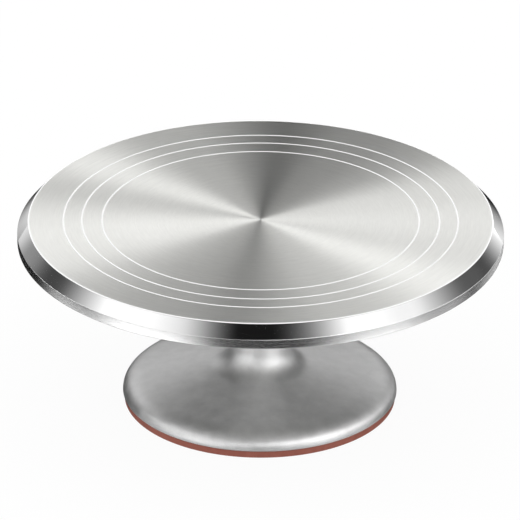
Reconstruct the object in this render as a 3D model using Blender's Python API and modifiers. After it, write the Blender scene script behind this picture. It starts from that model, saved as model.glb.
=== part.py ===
"""Cake turntable: a turned aluminium plate that spins on a cast pedestal.

The plate is screwed to a spindle. The spindle stands in two ball bearings inside
the pedestal's neck, and it lifts out of them with the plate. Everything is at its
real size, +Z up, with the origin at the centre of the foot, on the table.
"""

import math

import bmesh
import bpy
from mathutils import Matrix, Vector

MM = 0.001
FULL_TURN = 2 * math.pi
GAP = 0.3 * MM  # between pieces that touch

# Turntable plate
PLATE_TOP = 126 * MM
PLATE_RADIUS = 155 * MM
TOP_FACE_RADIUS = 148 * MM
BEVEL_DROP = 8.1 * MM
RIM_HEIGHT = 14.5 * MM
RIM_CORNER = 0.7 * MM
RIM_WALL = 4.5 * MM
WEB_THICKNESS = 3 * MM
INNER_BEVEL_RUN = 5.3 * MM
CAKE_CIRCLE_RADII = (101 * MM, 113.9 * MM, 125.7 * MM)  # for 8, 9 and 10 inch cakes
CIRCLE_WIDTH = 1 * MM
CIRCLE_DEPTH = 0.4 * MM
BOSS_RADIUS = 36 * MM
BOSS_DEPTH = 5.3 * MM
BOSS_CHAMFER = 2.5 * MM

# Hub flange and its four M5 screws
FLANGE_RADIUS = 32 * MM
FLANGE_THICKNESS = 6 * MM
FLANGE_CHAMFER = 0.8 * MM
SCREW_COUNT = 4
SCREW_CIRCLE_RADIUS = 23 * MM
SCREW_RADIUS = 2.5 * MM
SCREW_HEAD_RADIUS = 4.75 * MM
SCREW_HEAD_HEIGHT = 2.6 * MM
SCREW_HEAD_ROUND = 1 * MM
SCREW_LENGTH = 8.2 * MM
SOCKET_RADIUS = 1.75 * MM
SOCKET_DEPTH = 1.6 * MM

# Ball bearings, 12 x 28 x 8 mm, and what they stand on
BEARING_WIDTH = 8 * MM
BEARING_BORE_RADIUS = 6 * MM
BEARING_OUTER_RADIUS = 14 * MM
PITCH_RADIUS = 10 * MM
BALL_RADIUS = 2.38 * MM
BALL_COUNT = 8
BALL_CLEARANCE = 0.2 * MM
SHOULDER_FROM_PITCH = 1.9 * MM
SHIELD_THICKNESS = 0.4 * MM
SHIELD_RECESS_DEPTH = 0.8 * MM
SHIELD_RECESS_WIDTH = 0.8 * MM
SHIELD_INNER_RADIUS = 8.45 * MM
CAGE_HALF_WALL = 0.8 * MM
CAGE_BELOW = 3 * MM
CAGE_ABOVE = 1 * MM
POCKET_RADIUS = 2.6 * MM
UPPER_BEARING = 102 * MM  # height of its centre
LOWER_BEARING = 47 * MM

# Spindle and spacer
SPINDLE_RADIUS = BEARING_BORE_RADIUS - BALL_CLEARANCE
SPINDLE_SHOULDER_RADIUS = 7.8 * MM
SPINDLE_HEAD_RADIUS = 13 * MM
SPINDLE_HEAD_HEIGHT = 2.9 * MM
SPINDLE_TIP = 40 * MM
SPINDLE_CHAMFER = 1 * MM

# Retaining rings
CIRCLIP_THICKNESS = 1.2 * MM
CIRCLIP_WIDTH = 2.4 * MM
CIRCLIP_HALF_OPENING = math.radians(24)
CIRCLIP_EAR_RADIUS = 1.7 * MM
CIRCLIP_EAR_HOLE_RADIUS = 0.7 * MM
CIRCLIP_GROOVE_RADIUS = 15.6 * MM

# Pedestal casting
NECK_RADIUS = 19 * MM
NECK_TOP = 109 * MM
NECK_CHAMFER = 0.6 * MM
NECK_BORE_RADIUS = 12.6 * MM
FLARE_RADIUS = 17 * MM
WALL = 4.2 * MM
CONE_FOOT_RADIUS = 72.8 * MM
CONE_FOOT_HEIGHT = 16.7 * MM
CONE_SLOPE = math.atan(0.1705)
LIP_RADIUS = 88 * MM
LIP_BOTTOM = 4.9 * MM
LIP_CORNER = 0.5 * MM
LIP_INNER_RADIUS = 79.3 * MM

# Silicone foot ring, with a tongue that fills a groove in the lip
FOOT_RADIUS = 87 * MM
FOOT_INNER_RADIUS = 79.6 * MM
FOOT_HEIGHT = LIP_BOTTOM - GAP
FOOT_ROUND = 0.6 * MM
TONGUE_INNER_RADIUS = 82.2 * MM
TONGUE_OUTER_RADIUS = 84.8 * MM
TONGUE_HEIGHT = 2.8 * MM

PLATE_SEGMENTS = 60
PEDESTAL_SEGMENTS = 48
BEARING_SEGMENTS = 24
HOLE_SEGMENTS = 12

# Heights that follow from the sizes above
WEB_UNDERSIDE = PLATE_TOP - WEB_THICKNESS
BOSS_UNDERSIDE = WEB_UNDERSIDE - BOSS_DEPTH
FLANGE_TOP = BOSS_UNDERSIDE - GAP
FLANGE_BOTTOM = FLANGE_TOP - FLANGE_THICKNESS
SCREW_HEAD_BOTTOM = FLANGE_BOTTOM + GAP
SCREW_HEAD_TOP = SCREW_HEAD_BOTTOM + SCREW_HEAD_HEIGHT
UPPER_SEAT = UPPER_BEARING - BEARING_WIDTH / 2 - GAP
LOWER_SEAT = LOWER_BEARING + BEARING_WIDTH / 2 + GAP
SEAT_RADIUS = BEARING_OUTER_RADIUS + GAP
UPPER_CIRCLIP = UPPER_BEARING + BEARING_WIDTH / 2 + GAP + CIRCLIP_THICKNESS / 2
LOWER_CIRCLIP = LOWER_BEARING - BEARING_WIDTH / 2 - GAP - CIRCLIP_THICKNESS / 2
FLARE_CENTRE = Vector((
    NECK_RADIUS + FLARE_RADIUS,
    CONE_FOOT_HEIGHT
    + (CONE_FOOT_RADIUS - NECK_RADIUS - FLARE_RADIUS) * math.tan(CONE_SLOPE)
    + FLARE_RADIUS / math.cos(CONE_SLOPE),
))


def remove_all_objects():
    for obj in list(bpy.data.objects):
        bpy.data.objects.remove(obj, do_unlink=True)


def new_collection(name):
    collection = bpy.data.collections.new(name)
    bpy.context.scene.collection.children.link(collection)
    return collection


def new_material(name, colour, roughness, metallic):
    material = bpy.data.materials.new(name)
    material.use_nodes = True
    shader = material.node_tree.nodes["Principled BSDF"]
    shader.inputs["Base Color"].default_value = (*colour, 1)
    shader.inputs["Roughness"].default_value = roughness
    shader.inputs["Metallic"].default_value = metallic
    return material


def add_object(name, data, collection, material=None):
    obj = bpy.data.objects.new(name, data)
    collection.objects.link(obj)
    if material:
        data.materials.append(material)
    return obj


def mesh_from(bm, name):
    mesh = bpy.data.meshes.new(name)
    bm.to_mesh(mesh)
    bm.free()
    return mesh


def arc(centre, radius, start, end, steps):
    """Points of an arc from angle start to angle end, both ends included."""
    angles = [start + (end - start) * i / steps for i in range(steps + 1)]
    return [
        (centre[0] + radius * math.cos(angle), centre[1] + radius * math.sin(angle))
        for angle in angles
    ]


def turned(name, profile, segments, collection, material, closed=True):
    """A profile of (radius, height) points that runs down its outer side, turned about +Z.

    A closed profile is a ring's section. An open one starts and ends on the axis.
    """
    count = len(profile)
    edges = [(i, (i + 1) % count) for i in range(count if closed else count - 1)]
    mesh = bpy.data.meshes.new(name)
    mesh.from_pydata([(radius, 0, height) for radius, height in profile], edges, [])
    obj = add_object(name, mesh, collection, material)
    screw = obj.modifiers.new("turn", "SCREW")
    screw.axis = "Z"
    screw.angle = FULL_TURN
    screw.steps = segments
    screw.render_steps = segments
    screw.use_merge_vertices = True
    screw.merge_threshold = 0.01 * MM
    return obj


def cut(obj, cutter):
    boolean = obj.modifiers.new("cut " + cutter.name, "BOOLEAN")
    boolean.operation = "DIFFERENCE"
    boolean.solver = "EXACT"
    boolean.object = cutter


def cylinders(name, collection, radius, length, places, segments=HOLE_SEGMENTS):
    """A cutter of cylinders that each stand along the local Z of a matrix in places."""
    bm = bmesh.new()
    for place in places:
        bmesh.ops.create_cone(
            bm,
            cap_ends=True,
            segments=segments,
            radius1=radius,
            radius2=radius,
            depth=length,
            matrix=place,
        )
    cutter = add_object(name, mesh_from(bm, name), collection)
    cutter.hide_render = True
    cutter.display_type = "WIRE"
    return cutter


def around(count, radius, height, phase=0.0):
    """The centres of pieces spaced evenly on a circle about +Z, with their angles."""
    for i in range(count):
        angle = phase + FULL_TURN * i / count
        yield angle, Vector((radius * math.cos(angle), radius * math.sin(angle), height))


def screw_places():
    """Four places on the screw circle, each between two axes."""
    return [place for _, place in around(SCREW_COUNT, SCREW_CIRCLE_RADIUS, 0, math.pi / 4)]


def holes(name, collection, radius, bottom, top):
    """A cutter for the same hole at every screw."""
    middle = Vector((0, 0, (bottom + top) / 2))
    places = [Matrix.Translation(place + middle) for place in screw_places()]
    return cylinders(name, collection, radius, top - bottom, places)


def cake_circle(radius):
    """A fine groove turned into the top face."""
    half = CIRCLE_WIDTH / 2
    return [
        (radius - half, PLATE_TOP),
        (radius, PLATE_TOP - CIRCLE_DEPTH),
        (radius + half, PLATE_TOP),
    ]


def make_turntable_plate(parts, cutters, material):
    rim_bottom = PLATE_TOP - RIM_HEIGHT
    rim_inner = PLATE_RADIUS - RIM_WALL
    inner_bevel_drop = INNER_BEVEL_RUN * BEVEL_DROP / (PLATE_RADIUS - TOP_FACE_RADIUS)
    recess = SPINDLE_HEAD_RADIUS + GAP
    recess_top = BOSS_UNDERSIDE + SPINDLE_HEAD_HEIGHT + GAP
    profile = [(0, PLATE_TOP)]
    for radius in CAKE_CIRCLE_RADII:
        profile += cake_circle(radius)
    profile += [
        (TOP_FACE_RADIUS, PLATE_TOP),
        (PLATE_RADIUS, PLATE_TOP - BEVEL_DROP),
        (PLATE_RADIUS, rim_bottom + RIM_CORNER),
        (PLATE_RADIUS - RIM_CORNER, rim_bottom),
        (rim_inner, rim_bottom),
        (rim_inner, WEB_UNDERSIDE - inner_bevel_drop),
        (rim_inner - INNER_BEVEL_RUN, WEB_UNDERSIDE),
        (BOSS_RADIUS + BOSS_CHAMFER, WEB_UNDERSIDE),
        (BOSS_RADIUS, WEB_UNDERSIDE - BOSS_CHAMFER),
        (BOSS_RADIUS, BOSS_UNDERSIDE),
        (recess, BOSS_UNDERSIDE),
        (recess, recess_top),
        (0, recess_top),
    ]
    plate = turned("turntable_plate", profile, PLATE_SEGMENTS, parts, material, closed=False)
    below = BOSS_UNDERSIDE - MM
    cut(plate, holes("boss_holes", cutters, SCREW_RADIUS + GAP, below, WEB_UNDERSIDE))


def make_hub_flange(parts, cutters, material):
    bore = SPINDLE_SHOULDER_RADIUS + GAP
    profile = [
        (FLANGE_RADIUS, FLANGE_TOP),
        (FLANGE_RADIUS, FLANGE_BOTTOM + FLANGE_CHAMFER),
        (FLANGE_RADIUS - FLANGE_CHAMFER, FLANGE_BOTTOM),
        (bore, FLANGE_BOTTOM),
        (bore, FLANGE_TOP),
    ]
    flange = turned("hub_flange", profile, PEDESTAL_SEGMENTS, parts, material)
    below = FLANGE_BOTTOM - MM
    heads = SCREW_HEAD_RADIUS + GAP
    cut(flange, holes("screw_holes", cutters, SCREW_RADIUS + GAP, below, FLANGE_TOP + MM))
    cut(flange, holes("screw_recesses", cutters, heads, below, SCREW_HEAD_TOP + GAP))


def make_hub_screws(parts, cutters, material):
    tip = SCREW_HEAD_TOP + SCREW_LENGTH
    profile = [
        (0, tip),
        (SCREW_RADIUS, tip),
        (SCREW_RADIUS, SCREW_HEAD_TOP),
        (SCREW_HEAD_RADIUS, SCREW_HEAD_TOP),
        (SCREW_HEAD_RADIUS, SCREW_HEAD_BOTTOM + SCREW_HEAD_ROUND),
        (SCREW_HEAD_RADIUS - SCREW_HEAD_ROUND, SCREW_HEAD_BOTTOM),
        (0, SCREW_HEAD_BOTTOM),
    ]
    socket_middle = Matrix.Translation((0, 0, SCREW_HEAD_BOTTOM))
    for number, place in enumerate(screw_places(), start=1):
        name = f"hub_screw_{number}"
        screw = turned(name, profile, HOLE_SEGMENTS, parts, material, closed=False)
        socket = cylinders(
            f"hex_socket_{number}", cutters, SOCKET_RADIUS, 2 * SOCKET_DEPTH, [socket_middle], 6
        )
        screw.location = place
        socket.location = place
        cut(screw, socket)


def make_spindle(parts, material):
    head_bottom = BOSS_UNDERSIDE
    shoulder = UPPER_BEARING + BEARING_WIDTH / 2 + GAP
    profile = [
        (0, head_bottom + SPINDLE_HEAD_HEIGHT),
        (SPINDLE_HEAD_RADIUS, head_bottom + SPINDLE_HEAD_HEIGHT),
        (SPINDLE_HEAD_RADIUS, head_bottom),
        (SPINDLE_SHOULDER_RADIUS, head_bottom),
        (SPINDLE_SHOULDER_RADIUS, shoulder),
        (SPINDLE_RADIUS, shoulder),
        (SPINDLE_RADIUS, SPINDLE_TIP + SPINDLE_CHAMFER),
        (SPINDLE_RADIUS - SPINDLE_CHAMFER, SPINDLE_TIP),
        (0, SPINDLE_TIP),
    ]
    turned("spindle", profile, BEARING_SEGMENTS, parts, material, closed=False)


def race_arc(middle):
    """The raceway's section, as an arc about the ball's centre that faces outwards."""
    radius = BALL_RADIUS + BALL_CLEARANCE
    half = math.acos(SHOULDER_FROM_PITCH / radius)
    return arc((PITCH_RADIUS, middle), radius, -half, half, 3)


def make_outer_ring(name, middle, parts, material):
    half = BEARING_WIDTH / 2
    recess = half - SHIELD_RECESS_DEPTH
    shoulder = PITCH_RADIUS + SHOULDER_FROM_PITCH
    step = shoulder + SHIELD_RECESS_WIDTH
    profile = [
        (BEARING_OUTER_RADIUS, middle + half),
        (BEARING_OUTER_RADIUS, middle - half),
        (step, middle - half),
        (step, middle - recess),
        (shoulder, middle - recess),
        *race_arc(middle),
        (shoulder, middle + recess),
        (step, middle + recess),
        (step, middle + half),
    ]
    turned(name, profile, BEARING_SEGMENTS, parts, material)


def make_inner_ring(name, middle, parts, material):
    half = BEARING_WIDTH / 2
    shoulder = PITCH_RADIUS - SHOULDER_FROM_PITCH
    facing_in = [(2 * PITCH_RADIUS - radius, height) for radius, height in race_arc(middle)]
    profile = [
        (shoulder, middle + half),
        *reversed(facing_in),
        (shoulder, middle - half),
        (BEARING_BORE_RADIUS, middle - half),
        (BEARING_BORE_RADIUS, middle + half),
    ]
    turned(name, profile, BEARING_SEGMENTS, parts, material)


def make_shield(name, bottom, parts, material):
    outer = PITCH_RADIUS + SHOULDER_FROM_PITCH + SHIELD_RECESS_WIDTH - GAP
    top = bottom + SHIELD_THICKNESS
    section = [
        (outer, top),
        (outer, bottom),
        (SHIELD_INNER_RADIUS, bottom),
        (SHIELD_INNER_RADIUS, top),
    ]
    turned(name, section, BEARING_SEGMENTS, parts, material)


def make_cage(name, middle, parts, cutters, material):
    """A crown cage: a ring with a pocket for each ball, open at its upper side."""
    section = [
        (PITCH_RADIUS + CAGE_HALF_WALL, middle + CAGE_ABOVE),
        (PITCH_RADIUS + CAGE_HALF_WALL, middle - CAGE_BELOW),
        (PITCH_RADIUS - CAGE_HALF_WALL, middle - CAGE_BELOW),
        (PITCH_RADIUS - CAGE_HALF_WALL, middle + CAGE_ABOVE),
    ]
    cage = turned(name, section, BEARING_SEGMENTS, parts, material)
    pockets = [
        Matrix.Translation(place)
        @ Matrix.Rotation(angle, 4, "Z")
        @ Matrix.Rotation(math.pi / 2, 4, "Y")
        for angle, place in around(BALL_COUNT, PITCH_RADIUS, middle)
    ]
    length = 2 * PITCH_RADIUS - 2 * BEARING_BORE_RADIUS
    cut(cage, cylinders(name + "_pockets", cutters, POCKET_RADIUS, length, pockets))


def make_balls(name, middle, parts, material):
    for number, (_, place) in enumerate(around(BALL_COUNT, PITCH_RADIUS, middle), start=1):
        bm = bmesh.new()
        bmesh.ops.create_uvsphere(bm, u_segments=8, v_segments=6, radius=BALL_RADIUS)
        ball = add_object(f"{name}_{number}", mesh_from(bm, name), parts, material)
        ball.location = place


def make_bearing(side, middle, parts, cutters, steel, shield_steel, nylon):
    make_outer_ring(f"{side}_outer_ring", middle, parts, steel)
    make_inner_ring(f"{side}_inner_ring", middle, parts, steel)
    make_cage(f"{side}_cage", middle, parts, cutters, nylon)
    make_balls(f"{side}_ball", middle, parts, steel)
    floor = BEARING_WIDTH / 2 - SHIELD_RECESS_DEPTH + GAP / 2
    make_shield(f"{side}_shield_top", middle + floor, parts, shield_steel)
    make_shield(f"{side}_shield_bottom", middle - floor - SHIELD_THICKNESS, parts, shield_steel)


def make_spacer_sleeve(parts, material):
    """Keeps the two inner rings apart on the spindle."""
    top = UPPER_BEARING - BEARING_WIDTH / 2 - GAP
    bottom = LOWER_BEARING + BEARING_WIDTH / 2 + GAP
    section = [
        (SPINDLE_SHOULDER_RADIUS, top),
        (SPINDLE_SHOULDER_RADIUS, bottom),
        (BEARING_BORE_RADIUS, bottom),
        (BEARING_BORE_RADIUS, top),
    ]
    turned("spacer_sleeve", section, BEARING_SEGMENTS, parts, material)


def add_spline(curve, points):
    spline = curve.splines.new("POLY")
    spline.points.add(len(points) - 1)
    for point, (x, y) in zip(spline.points, points):
        point.co = (x, y, 0, 1)
    spline.use_cyclic_u = True


def make_circlip(name, middle, parts, material):
    """An internal retaining ring: a C of spring steel with an ear and an eye at each end."""
    outer = CIRCLIP_GROOVE_RADIUS - GAP
    inner = outer - CIRCLIP_WIDTH
    ear_circle = outer - CIRCLIP_EAR_RADIUS - CIRCLIP_WIDTH / 2
    start = CIRCLIP_HALF_OPENING
    end = FULL_TURN - CIRCLIP_HALF_OPENING
    ear = math.asin(CIRCLIP_EAR_RADIUS / ear_circle)
    inner_tip = ear_circle - CIRCLIP_EAR_RADIUS
    outline = arc((0, 0), outer, start, end, BEARING_SEGMENTS)
    outline += arc((0, 0), inner_tip, end, end - 2 * ear, 2)
    outline += arc((0, 0), inner, end - 3 * ear, start + 3 * ear, BEARING_SEGMENTS - 4)
    outline += arc((0, 0), inner_tip, start + 2 * ear, start, 2)
    curve = bpy.data.curves.new(name, "CURVE")
    curve.dimensions = "2D"
    curve.fill_mode = "BOTH"
    curve.extrude = CIRCLIP_THICKNESS / 2
    add_spline(curve, outline)
    for angle in (start + ear, end - ear):
        eye = (ear_circle * math.cos(angle), ear_circle * math.sin(angle))
        add_spline(curve, arc(eye, CIRCLIP_EAR_HOLE_RADIUS, 0, FULL_TURN, 8)[:-1])
    clip = add_object(name, curve, parts, material)
    clip.location.z = middle


def lip_curve():
    """From the cone's lower edge, round and down to the lip's lower corner."""
    corner = CONE_FOOT_HEIGHT - (LIP_RADIUS - CONE_FOOT_RADIUS) * math.tan(CONE_SLOPE)
    start = Vector((CONE_FOOT_RADIUS, CONE_FOOT_HEIGHT))
    bend = Vector((LIP_RADIUS, corner))
    end = Vector((LIP_RADIUS, LIP_BOTTOM + LIP_CORNER))
    steps = [i / 6 for i in range(7)]
    curve = [(1 - t) ** 2 * start + 2 * t * (1 - t) * bend + t**2 * end for t in steps]
    return [tuple(point) for point in curve]


def pedestal_outside():
    across = -math.pi / 2 - CONE_SLOPE
    return [
        (NECK_RADIUS - NECK_CHAMFER, NECK_TOP),
        (NECK_RADIUS, NECK_TOP - NECK_CHAMFER),
        *arc(FLARE_CENTRE, FLARE_RADIUS, -math.pi, across, 6),
        *lip_curve(),
        (LIP_RADIUS - LIP_CORNER, LIP_BOTTOM),
    ]


def foot_groove():
    """The groove under the lip that holds the foot ring's tongue."""
    top = FOOT_HEIGHT + TONGUE_HEIGHT + GAP
    return [
        (TONGUE_OUTER_RADIUS + GAP, LIP_BOTTOM),
        (TONGUE_OUTER_RADIUS + GAP, top),
        (TONGUE_INNER_RADIUS - GAP, top),
        (TONGUE_INNER_RADIUS - GAP, LIP_BOTTOM),
    ]


def circlip_groove(middle):
    half = CIRCLIP_THICKNESS / 2 + GAP
    return [
        (CIRCLIP_GROOVE_RADIUS, middle - half),
        (CIRCLIP_GROOVE_RADIUS, middle + half),
    ]


def pedestal_inside():
    """From the lip's inner edge, up under the cone and through the neck's bore."""
    across = -math.pi / 2 - CONE_SLOPE
    inner_flare = arc(FLARE_CENTRE, FLARE_RADIUS + WALL, across, -math.pi, 4)
    cone_end_radius, cone_end_height = inner_flare[0]
    cone_drop = (LIP_INNER_RADIUS - cone_end_radius) * math.tan(CONE_SLOPE)
    lower_groove = circlip_groove(LOWER_CIRCLIP)
    upper_groove = circlip_groove(UPPER_CIRCLIP)
    flare_end_radius = inner_flare[-1][0]
    return [
        (LIP_INNER_RADIUS, LIP_BOTTOM),
        (LIP_INNER_RADIUS, cone_end_height - cone_drop),
        *inner_flare,
        (flare_end_radius, lower_groove[0][1]),
        *lower_groove,
        (SEAT_RADIUS, lower_groove[1][1]),
        (SEAT_RADIUS, LOWER_SEAT),
        (NECK_BORE_RADIUS, LOWER_SEAT),
        (NECK_BORE_RADIUS, UPPER_SEAT),
        (SEAT_RADIUS, UPPER_SEAT),
        (SEAT_RADIUS, upper_groove[0][1]),
        *upper_groove,
        (SEAT_RADIUS, upper_groove[1][1]),
        (SEAT_RADIUS, NECK_TOP),
    ]


def make_pedestal(parts, material):
    profile = pedestal_outside() + foot_groove() + pedestal_inside()
    turned("pedestal", profile, PEDESTAL_SEGMENTS, parts, material)


def make_foot_ring(parts, material):
    tongue_top = FOOT_HEIGHT + TONGUE_HEIGHT
    profile = [
        (TONGUE_OUTER_RADIUS, tongue_top),
        (TONGUE_OUTER_RADIUS, FOOT_HEIGHT),
        (FOOT_RADIUS, FOOT_HEIGHT),
        (FOOT_RADIUS, FOOT_ROUND),
        (FOOT_RADIUS - FOOT_ROUND, 0),
        (FOOT_INNER_RADIUS, 0),
        (FOOT_INNER_RADIUS, FOOT_HEIGHT),
        (TONGUE_INNER_RADIUS, FOOT_HEIGHT),
        (TONGUE_INNER_RADIUS, tongue_top),
    ]
    turned("foot_ring", profile, PEDESTAL_SEGMENTS, parts, material)


def main():
    remove_all_objects()
    parts = new_collection("cake_turntable")
    cutters = new_collection("cutters")

    turned_aluminium = new_material("turned_aluminium", (0.79, 0.79, 0.8), 0.25, 1)
    cast_aluminium = new_material("cast_aluminium", (0.6, 0.6, 0.61), 0.45, 1)
    spindle_steel = new_material("spindle_steel", (0.62, 0.61, 0.6), 0.25, 1)
    bearing_steel = new_material("bearing_steel", (0.7, 0.7, 0.72), 0.12, 1)
    shield_steel = new_material("shield_steel", (0.55, 0.55, 0.57), 0.35, 1)
    spring_steel = new_material("spring_steel", (0.08, 0.08, 0.09), 0.4, 1)
    screw_steel = new_material("screw_steel", (0.58, 0.58, 0.6), 0.3, 1)
    nylon = new_material("nylon", (0.72, 0.68, 0.55), 0.5, 0)
    silicone = new_material("silicone", (0.26, 0.08, 0.055), 0.6, 0)

    make_turntable_plate(parts, cutters, turned_aluminium)
    make_hub_flange(parts, cutters, cast_aluminium)
    make_hub_screws(parts, cutters, screw_steel)
    make_spindle(parts, spindle_steel)
    for side, middle in (("upper", UPPER_BEARING), ("lower", LOWER_BEARING)):
        make_bearing(side, middle, parts, cutters, bearing_steel, shield_steel, nylon)
    make_spacer_sleeve(parts, spindle_steel)
    make_circlip("upper_circlip", UPPER_CIRCLIP, parts, spring_steel)
    make_circlip("lower_circlip", LOWER_CIRCLIP, parts, spring_steel)
    make_pedestal(parts, cast_aluminium)
    make_foot_ring(parts, silicone)


main()
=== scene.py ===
"""The cake turntable's looks: finely turned meshes and procedural materials on the CAD frame."""

import math

import bmesh
import bpy
from mathutils import Matrix, Quaternion, Vector


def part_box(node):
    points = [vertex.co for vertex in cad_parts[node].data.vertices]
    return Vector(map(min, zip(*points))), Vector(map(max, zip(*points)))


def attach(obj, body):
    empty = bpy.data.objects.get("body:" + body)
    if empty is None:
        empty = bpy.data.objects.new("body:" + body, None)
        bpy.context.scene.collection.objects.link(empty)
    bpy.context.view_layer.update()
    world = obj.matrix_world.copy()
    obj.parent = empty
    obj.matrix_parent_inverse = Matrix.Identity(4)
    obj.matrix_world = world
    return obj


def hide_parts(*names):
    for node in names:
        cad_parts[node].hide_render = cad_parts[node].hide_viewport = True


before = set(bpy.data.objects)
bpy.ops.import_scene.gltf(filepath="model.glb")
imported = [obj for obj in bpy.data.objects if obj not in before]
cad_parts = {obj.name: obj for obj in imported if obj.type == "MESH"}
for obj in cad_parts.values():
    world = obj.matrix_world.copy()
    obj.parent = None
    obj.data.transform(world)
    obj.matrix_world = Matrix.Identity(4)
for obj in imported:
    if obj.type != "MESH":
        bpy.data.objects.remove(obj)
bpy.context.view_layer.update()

MM = 0.001
FULL_TURN = 2 * math.pi  # in radians
QUARTER_TURN = 0.25  # in turns, as a shader's rotation is given

# Camera: a long lens far away, at the photograph's angle. Places are in metres.
CAMERA_ELEVATION = math.radians(26.5)
CAMERA_ROLL = math.radians(0.3)
CAMERA_DISTANCE = 5.05
CAMERA_PIVOT = Vector((0, 0, 0.062))  # the point the elevation and distance are taken from
CAMERA_AIM = Vector((-0.0003, 0, 0.0972))
CAMERA_LENS = 546  # millimetres
CAMERA_SENSOR = 36  # millimetres
CAMERA_REACH = 50

# Steps round each kind of piece
PLATE_STEPS = 512
PEDESTAL_STEPS = 384
HUB_STEPS = 128
BEARING_STEPS = 96
SCREW_STEPS = 48
SOCKET_SIDES = 6
POCKET_STEPS = 32
EYE_STEPS = 20
CIRCLIP_STEPS = 96
BALL_STEPS = 32
CARD_STEPS = 96

# Steps along the curves of a profile
BALL_RINGS = 20
RACE_STEPS = 10
FLARE_STEPS = 24
INNER_FLARE_STEPS = 20
LIP_STEPS = 32
ARC_STEP = math.radians(18)  # largest turn between two points of a rounded corner
SHARP_ANGLE = math.radians(35)  # edges that turn further than this are shaded as edges


# ---------------------------------------------------------------- node trees


def add_node(tree, kind, inputs=None, **settings):
    node = tree.nodes.new(kind)
    for name, value in settings.items():
        setattr(node, name, value)
    for key, value in (inputs or {}).items():
        if isinstance(value, bpy.types.NodeSocket):
            tree.links.new(value, node.inputs[key])
        else:
            node.inputs[key].default_value = value
    return node


def maths(tree, operation, *values):
    inputs = dict(enumerate(values))
    return add_node(tree, "ShaderNodeMath", inputs, operation=operation).outputs[0]


def map_range(tree, value, low, high, to_low, to_high, smooth=False):
    node = add_node(
        tree,
        "ShaderNodeMapRange",
        {0: value, 1: low, 2: high, 3: to_low, 4: to_high},
        interpolation_type="SMOOTHSTEP" if smooth else "LINEAR",
    )
    return node.outputs[0]


def mix_colours(tree, factor, first, second):
    node = add_node(tree, "ShaderNodeMix", {0: factor, 6: first, 7: second}, data_type="RGBA")
    return node.outputs[2]


def spread(tree, noise, low, high, reach=0.2):
    """Noise, which seldom strays further than reach from a half, spread from low to high."""
    return map_range(tree, noise, 0.5 - reach, 0.5 + reach, low, high)


def spread_product(tree, product, low, high):
    """The product of two noises, spread from low to high."""
    return map_range(tree, product, 0.1, 0.4, low, high)


def blend(tree, first, second, share):
    """Two noises mixed, with the given share of the first."""
    rest = maths(tree, "MULTIPLY", second, 1 - share)
    return maths(tree, "MULTIPLY_ADD", first, share, rest)


def split(tree, vector):
    return add_node(tree, "ShaderNodeSeparateXYZ", {0: vector}).outputs


def object_point(tree):
    return add_node(tree, "ShaderNodeTexCoord").outputs["Object"]


def distance_from_axis(tree):
    x, y, _ = split(tree, object_point(tree))
    squares = maths(tree, "ADD", maths(tree, "MULTIPLY", x, x), maths(tree, "MULTIPLY", y, y))
    return maths(tree, "SQRT", squares)


def height_above_foot(tree):
    return split(tree, object_point(tree))[2]


def line_noise(tree, position, pitch, detail=2.0, offset=0.0):
    """Noise along one measure, such as a radius, with features about one pitch apart."""
    where = maths(tree, "MULTIPLY_ADD", position, 1 / pitch, offset)
    inputs = {"W": where, "Scale": 1.0, "Detail": detail, "Roughness": 0.6}
    return add_node(tree, "ShaderNodeTexNoise", inputs, noise_dimensions="1D").outputs["Fac"]


def streak_noise(tree, pitch, turns, detail=2.0):
    """Noise drawn out into short arcs round +Z, a pitch apart from one radius to the next.
    Along the arcs it varies as on a circle of radius turns, at any distance from the axis."""
    x, y, _ = split(tree, object_point(tree))
    radius = distance_from_axis(tree)
    least_radius = 0.1 * MM
    scale = maths(tree, "DIVIDE", turns, maths(tree, "MAXIMUM", radius, least_radius))
    across = maths(tree, "MULTIPLY", x, scale)
    along = maths(tree, "MULTIPLY", y, scale)
    outwards = maths(tree, "DIVIDE", radius, pitch)
    where = add_node(tree, "ShaderNodeCombineXYZ", {0: across, 1: along, 2: outwards}).outputs[0]
    inputs = {"Vector": where, "Scale": 1.0, "Detail": detail, "Roughness": 0.6}
    return add_node(tree, "ShaderNodeTexNoise", inputs).outputs["Fac"]


def cloud_noise(tree, pitch, detail=3.0, roughness=0.55):
    inputs = {
        "Vector": object_point(tree),
        "Scale": 1 / pitch,
        "Detail": detail,
        "Roughness": roughness,
    }
    return add_node(tree, "ShaderNodeTexNoise", inputs).outputs["Fac"]


def bump(tree, height, strength, distance, normal=None):
    inputs = {"Height": height, "Strength": strength, "Distance": distance}
    if normal is not None:
        inputs["Normal"] = normal
    return add_node(tree, "ShaderNodeBump", inputs).outputs["Normal"]


def vector_maths(tree, operation, *values):
    node = add_node(tree, "ShaderNodeVectorMath", dict(enumerate(values)), operation=operation)
    return node.outputs[0]


def leaning_normal(tree, lean):
    """The normal, leaning outwards from the axis by a small angle in radians."""
    place = add_node(tree, "ShaderNodeTexCoord")
    flat = vector_maths(tree, "MULTIPLY", place.outputs["Object"], (1, 1, 0))
    amount = math.tan(lean)
    outwards = vector_maths(tree, "NORMALIZE", flat)
    tilt = vector_maths(tree, "MULTIPLY", outwards, (amount, amount, amount))
    return vector_maths(tree, "NORMALIZE", vector_maths(tree, "ADD", place.outputs["Normal"], tilt))


def grey(value):
    return (value, value, value, 1)


def warm_grey(value):
    return (value, value, 0.97 * value, 1)


def new_material(name, metallic, ior=1.5):
    material = bpy.data.materials.new(name)
    material.use_nodes = True
    shader = material.node_tree.nodes["Principled BSDF"]
    shader.inputs["Metallic"].default_value = metallic
    shader.inputs["IOR"].default_value = ior
    return material, material.node_tree, shader


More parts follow.
